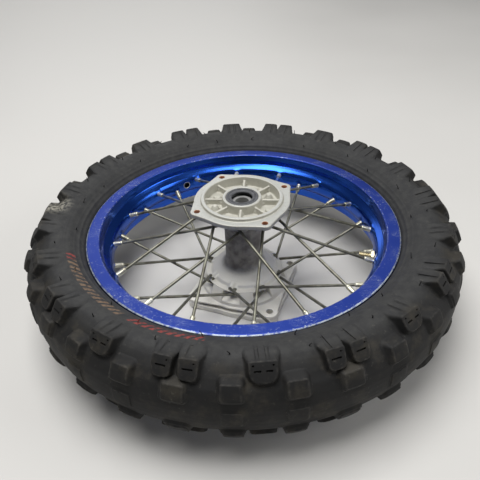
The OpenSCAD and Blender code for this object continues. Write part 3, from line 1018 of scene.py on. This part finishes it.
def rim_piece():
    """The rim, with its lock hole and its valve hole cut through."""
    shape = Shape()
    shape.add(*turned(dense(rim_outline(), 1.6), 600, dimples))
    drills = [
        (polar(BED_R - 6, a, 0), polar(BED_OUT_R + 5, a, 0), radius)
        for a, radius in ((LOCK_ANGLE, LOCK_HOLE_R), (VALVE_ANGLE, VALVE_HOLE_R))
    ]
    mesh = drilled(shape.mesh("rim", 40), "rim_cut", drills)
    finish_mesh(mesh, 40)
    return place("rim_body", mesh, "wheel", "blue_anodised", anodised, "rim")


def lock_hole_rim():
    """The bright chamfer round the empty rim lock hole."""
    shape = Shape()
    at = polar(BED_R - 0.05, LOCK_ANGLE, 0)
    out = polar(1, LOCK_ANGLE, 0)
    sections = [(0.9, 4.2), (0.9, 4.9), (0.0, 5.3), (-0.15, 5.0), (-0.1, 4.6), (0.5, 4.2)]
    shape.add(*lathe_along(at, out, sections, 40, hollow=True))
    mesh = shape.mesh("rim_lock_hole_edge", 40)
    return place("rim_lock_hole_edge", mesh, "wheel", "cast_alloy", bare_alloy)


# ---------- spokes and nipples ----------


def spoke_points(side, turn, k):
    """A spoke's nipple seat, its elbow and its head."""
    pair = PAIR_ANGLE[side] + k * 360 / PAIRS
    low, high = SPOKE_FLANGE_Z[side]
    hole = pair - turn * HOLE_TURN
    radius = SPOKE_FLANGE_R[side]
    seat = polar(BED_OUT_R, pair + turn * NIPPLE_TURN, side * NIPPLE_Z)
    elbow = polar(radius, hole, high + ELBOW if turn > 0 else low - ELBOW)
    head = polar(radius, hole, low - 1 if turn > 0 else high + 1)
    return seat, elbow, head


def spoke_set(name, side, turn):
    """The spokes of one flange that lean one way."""
    shape = Shape()
    for k in range(PAIRS):
        seat, elbow, head = spoke_points(side, turn, k)
        back = unit(seat - elbow)
        down = unit(head - elbow)
        bend = [
            elbow + back * BEND_REACH * (1 - t) ** 2 + down * BEND_REACH * t * t
            for t in np.linspace(0, 1, 9)
        ]
        path = [seat - back * 4] + bend + [head + down * d for d in (-0.9, -0.3, 0.2, 0.9, 1.4)]
        head_radii = [SPOKE_R, SPOKE_R + 0.5, SPOKE_R + 0.8, SPOKE_R + 0.6, SPOKE_R * 0.5]
        shape.add(*tube(path, [SPOKE_R] * 10 + head_radii, 14))
    mesh = shape.mesh(name, 45)
    return place(name + "_wire", mesh, "wheel", "zinc_wire", zinc, name)


def nipple_set(name, side):
    """The square-shanked nipples of one flange's spokes."""
    square = flats(4, 2.55, 3.05)
    shape = Shape()
    for k in range(PAIRS):
        for turn in (1, -1):
            seat, elbow, _ = spoke_points(side, turn, k)
            axis = unit(elbow - seat)
            sections = [
                (-3.0, 2.4), (-2.6, 3.9), (-1.7, 4.15), (-1.2, 3.4), (-0.4, 3.1), (4.6, 3.1),
                (5.0, 2.9), (5.2, 2.9), (5.6, square), (12.6, square), (13.0, 2.75), (13.3, 2.9),
                (14.6, 2.85), (15.6, 2.55), (16.0, 2.1), (15.4, 1.9),
            ]  # fmt: skip
            shape.add(*lathe_along(seat, axis, sections, 24, spin=0.35 * k + turn))
    mesh = shape.mesh(name, 32)
    return place(name + "_cut", mesh, "wheel", "nipple_plate", nipple_plate, name)


# ---------- hub ----------


def cast_lump(shape, at, radii, height, sides=24):
    """A low dome with a soft foot: radii are its foot and its flat top."""
    foot, top = radii
    sections = [(-2.0, foot), (0.0, foot), (height * 0.45, (foot + top) / 2 + 0.1)]
    sections += [(height * 0.85, top + 0.25), (height, top - 0.4)]
    turn = np.arange(sides) * 2 * math.pi / sides
    verts = [
        np.asarray(at) + np.stack([r * np.cos(turn), r * np.sin(turn), np.full(sides, d)], 1)
        for d, r in sections
    ]
    faces = loop_faces(len(sections), sides) + end_faces(len(sections), sides)
    shape.add(np.concatenate(verts), faces)


def cast_swells(shape):
    """Rounded swells at each lower spoke hole and at both ends of each recess rib."""
    for k in range(PAIRS):
        for turn in (1, -1):
            a = PAIR_ANGLE[-1] + k * 360 / PAIRS - turn * HOLE_TURN
            path = [polar(38, a, -41.5), polar(43, a, -44.5), polar(46.5, a, -47.2)]
            shape.add(*tube(path, [2.6, 3.2, 3.0], 14))
    for k in range(RIBS):
        a = RIB_ANGLE + k * 360 / RIBS
        for r in (25.4, 43.6):
            path = [polar(r, a, z) for z in (52, 57.5, 60)]
            shape.add(*tube(path, [2.9, 2.9, 1.2], 14))


def hub_piece():
    """The CAD hub with soft cast fillets: its solid and the cast lumps, remeshed as one skin."""
    source = frame["nodes"]["hub_shell"].data
    bm = bmesh.new()
    bm.from_mesh(source)
    bmesh.ops.remove_doubles(bm, verts=bm.verts, dist=1e-6)
    extra = Shape()
    cast_swells(extra)
    for a in (17.5, 197.5):
        cast_lump(extra, polar(34.5, a, RECESS_Z), (6.4, 2.8), 7.0)
    for a in (62, 152):
        cast_lump(extra, polar(33.0, a, RECESS_Z), (5.2, 3.2), 3.6)
    lumps = extra.mesh("hub_lumps", 60)
    bm.from_mesh(lumps)
    mesh = bpy.data.meshes.new("hub")
    bm.to_mesh(mesh)
    bm.free()
    bpy.data.meshes.remove(lumps)
    obj = linked("hub_remesh", mesh)
    skin = baked(
        obj,
        ("REMESH", {"mode": "VOXEL", "voxel_size": 0.00062, "adaptivity": 0.0}),
        ("SMOOTH", {"factor": 0.5, "iterations": 5}),
        ("DECIMATE", {"ratio": 0.32}),
    )
    finish_mesh(skin, 60)
    return place("hub_casting", skin, "wheel", "cast_alloy", cast, "hub_shell")


def seal_piece(name, node, back, face):
    """A rubber lip seal: a flat case ring, a groove, a raised lip and a garter spring's swell."""
    s = 1 if face > back else -1
    outline = [
        (20.0, back, 0.2), (20.0, face - s * 0.3, 0.3), (19.6, face, 0.3), (17.4, face, 0.3),
        (17.0, face - s * 0.9, 0.3), (16.0, face - s * 0.9, 0.3), (15.6, face - s * 0.1, 0.4),
        (14.6, face - s * 0.05, 0.5), (13.3, face - s * 0.5, 0.5), (12.5, face - s * 1.3, 0.3),
        (12.5, face - s * 2.2, 0.3), (13.7, face - s * 3.2, 0.4), (14.6, face - s * 3.3, 0.5),
        (13.8, face - s * 4.2, 0.3), (18.0, face - s * 4.2, 0.3), (18.0, back, 0.2),
    ]  # fmt: skip
    shape = Shape()
    shape.add(*turned(rounded(outline, 0.3, 2), 96))
    return place(name, shape.mesh(name, 40), "wheel", "seal_rubber", seal_rubber, node)


# ---------- valve ----------


def thread_sections(distance, last, crest):
    """Sections of shallow rings, one each 0.8 mm, that stand for a screw thread."""
    root = crest - 0.45
    sections = []
    while distance < last:
        sections += [(distance, crest), (distance + 0.2, crest)]
        sections += [(distance + 0.45, root), (distance + 0.6, root)]
        distance += 0.8
    return sections


def valve_stem():
    """The threaded stem, bored through."""
    out = polar(1, VALVE_ANGLE, 0)
    sections = [(VALVE_FROM, VALVE_BORE), (VALVE_FROM, 3.3), (VALVE_FROM + 0.5, 3.72)]
    sections += thread_sections(VALVE_FROM + 1, 158.2, 3.85)
    sections += [(158.5, 3.85), (158.6, 4.05)]
    sections += thread_sections(159.2, 171.8, 4.05)
    sections += [(172.6, 4.05), (VALVE_TO, 4.05), (VALVE_TO, VALVE_BORE)]
    shape = Shape()
    shape.add(*lathe_along(np.zeros(3), out, sections, 32, hollow=True))
    mesh = shape.mesh("valve_stem", 40)
    return place("valve_stem_threaded", mesh, "wheel", "valve_brass", brass, "valve_stem")


def valve_nut():
    """The hexagonal nut on the stem, against the rim's bed."""
    out = polar(1, VALVE_ANGLE, 0)
    flat = 8.1 * math.cos(math.pi / 6)
    hexagon = flats(6, flat, 8.05)
    chamfer = flats(6, flat, 7.25)
    base = BED_R - 4.3
    sections = [(base, 4.15), (base, chamfer), (base + 0.6, hexagon), (base + 3.4, hexagon)]
    sections += [(base + 4.0, chamfer), (base + 4.0, 4.15)]
    shape = Shape()
    shape.add(*lathe_along(np.zeros(3), out, sections, 72, hollow=True))
    mesh = shape.mesh("valve_nut", 30)
    return place("valve_nut_hex", mesh, "wheel", "valve_brass", brass, "valve_nut")


# ---------- floor, light and camera ----------


def floor_material():
    """Plain pale grey, slightly clouded."""
    g = Graph("floor", metallic=0.0)
    clouds = g.noise(600, 3)
    g.set("Base Color", g.mix(clouds, srgb(190, 188, 184), srgb(200, 198, 194)))
    g.set("Roughness", g.between(clouds, 0.3, 0.7, 0.55, 0.65))
    return g.material


def stage_floor():
    """A wide plain disc just under the wheel's lowest face."""
    sides = 64
    radii = (0.6, 1.6, 4.0, 9.0)  # metres
    verts = [tuple(polar(r, 360 * j / sides, FLOOR_Z * MM)) for r in radii for j in range(sides)]
    faces = [face[::-1] for face in loop_faces(len(radii), sides)]
    mesh = bpy.data.meshes.new("floor")
    mesh.from_pydata(verts, [], [tuple(range(sides)), *faces])
    floor = linked("floor", mesh)
    mesh.materials.append(floor_material())


def area_light(name, at, size, power):
    """A soft square light at a point in metres, aimed at the wheel's centre."""
    data = bpy.data.lights.new(name, "AREA")
    data.shape = "SQUARE"
    data.size = size
    data.energy = power
    light = linked(name, data)
    light.location = at
    light.rotation_mode = "QUATERNION"
    light.rotation_quaternion = (-Vector(at)).to_track_quat("-Z", "Y")


def studio():
    """A dim even sky and three soft lights."""
    world = bpy.data.worlds.new("studio")
    world.use_nodes = True
    sky = world.node_tree.nodes["Background"]
    sky.inputs["Color"].default_value = (0.90, 0.92, 0.95, 1.0)
    sky.inputs["Strength"].default_value = 0.15
    bpy.context.scene.world = world
    area_light("overhead", (-0.3, -0.1, 2.2), 1.5, 64)
    area_light("back_wall", (-0.6, 2.4, 1.1), 1.8, 16)
    area_light("right_side", (2.0, -0.3, 1.2), 1.2, 18)
    bpy.context.scene.view_settings.view_transform = "Standard"


def make_camera():
    """A wide lens close above the front of the wheel, tilted down and slightly rolled."""
    data = bpy.data.cameras.new("camera")
    data.sensor_width = 36.0
    data.lens = 38.25
    data.shift_x = -0.0048
    data.shift_y = -0.0025
    pitch = math.radians(36.78)
    roll = math.radians(-1.96)
    right = Vector((1, 0, 0))
    up = Vector((0, math.sin(pitch), math.cos(pitch)))
    back = Vector((0, -math.cos(pitch), math.sin(pitch)))
    x_axis = math.cos(roll) * right + math.sin(roll) * up
    y_axis = -math.sin(roll) * right + math.cos(roll) * up
    matrix = Matrix((x_axis, y_axis, back)).transposed().to_4x4()
    matrix.translation = Vector((-1.31, -525.07, 394.45)) * MM
    camera = linked("camera", data)
    camera.matrix_world = matrix
    bpy.context.scene.camera = camera


def finish_cad_nodes():
    """Materials for the CAD parts that stay as they are."""
    for node, obj in frame["nodes"].items():
        if obj.hide_render:
            continue
        material = NODE_MATERIALS[node.replace("disc_", "").replace("sprocket_", "")]
        obj.data.materials.clear()
        obj.data.materials.append(material)


rubber = rubber_material()
anodised = anodised_material()
cast = cast_material()
bare_alloy = zinc_material("bare_alloy", srgb(214, 212, 205), srgb(176, 172, 162))
zinc = zinc_material("zinc_wire", srgb(132, 131, 119), srgb(90, 88, 76))
nipple_plate = zinc_material("nipple_plate", srgb(208, 206, 190), srgb(166, 162, 140))
brass = brass_material()
race_steel = steel_material("bearing_steel", srgb(206, 206, 204), srgb(160, 160, 158), 0.34, 0.6)
ball_steel = steel_material("ball_steel", srgb(206, 208, 212), srgb(170, 172, 176), 0.08, 1.0)
spacer_steel = steel_material("spacer_tube", srgb(190, 190, 186), srgb(150, 148, 142), 0.4, 0.5)
seal_rubber = soft_material("seal_rubber", srgb(84, 85, 88), srgb(62, 63, 66), 0.55)
shield_rubber = soft_material("shield_rubber", srgb(40, 41, 44), srgb(24, 24, 26), 0.55)
tape_rubber = soft_material("tape_rubber", srgb(52, 50, 48), srgb(30, 29, 28), 0.75)
tube_rubber = soft_material("tube_rubber", srgb(38, 38, 38), srgb(22, 22, 22), 0.55)
cage_plastic = soft_material("cage_plastic", srgb(186, 160, 96), srgb(150, 124, 66), 0.5)

NODE_MATERIALS = {
    "rim_tape": tape_rubber,
    "inner_tube": tube_rubber,
    "bearing_outer_race": race_steel,
    "bearing_inner_race": race_steel,
    "bearing_balls": ball_steel,
    "bearing_cage": cage_plastic,
    "bearing_shields": shield_rubber,
    "bearing_spacer": spacer_steel,
    "valve_core": brass,
    "valve_pin": brass,
}

make_camera()
studio()
stage_floor()
tyre_casing()
tread_blocks()
rim_piece()
lock_hole_rim()
for spoke_side, side_name in ((1, "disc_side"), (-1, "sprocket_side")):
    spoke_set(side_name + "_leading_spokes", spoke_side, 1)
    spoke_set(side_name + "_trailing_spokes", spoke_side, -1)
    nipple_set(side_name + "_nipples", spoke_side)
hub_piece()
seal_piece("disc_side_lip_seal", "disc_side_seal", 59.4, 66.1)
seal_piece("sprocket_side_lip_seal", "sprocket_side_seal", -72.9, -79.8)
valve_stem()
valve_nut()
finish_cad_nodes()
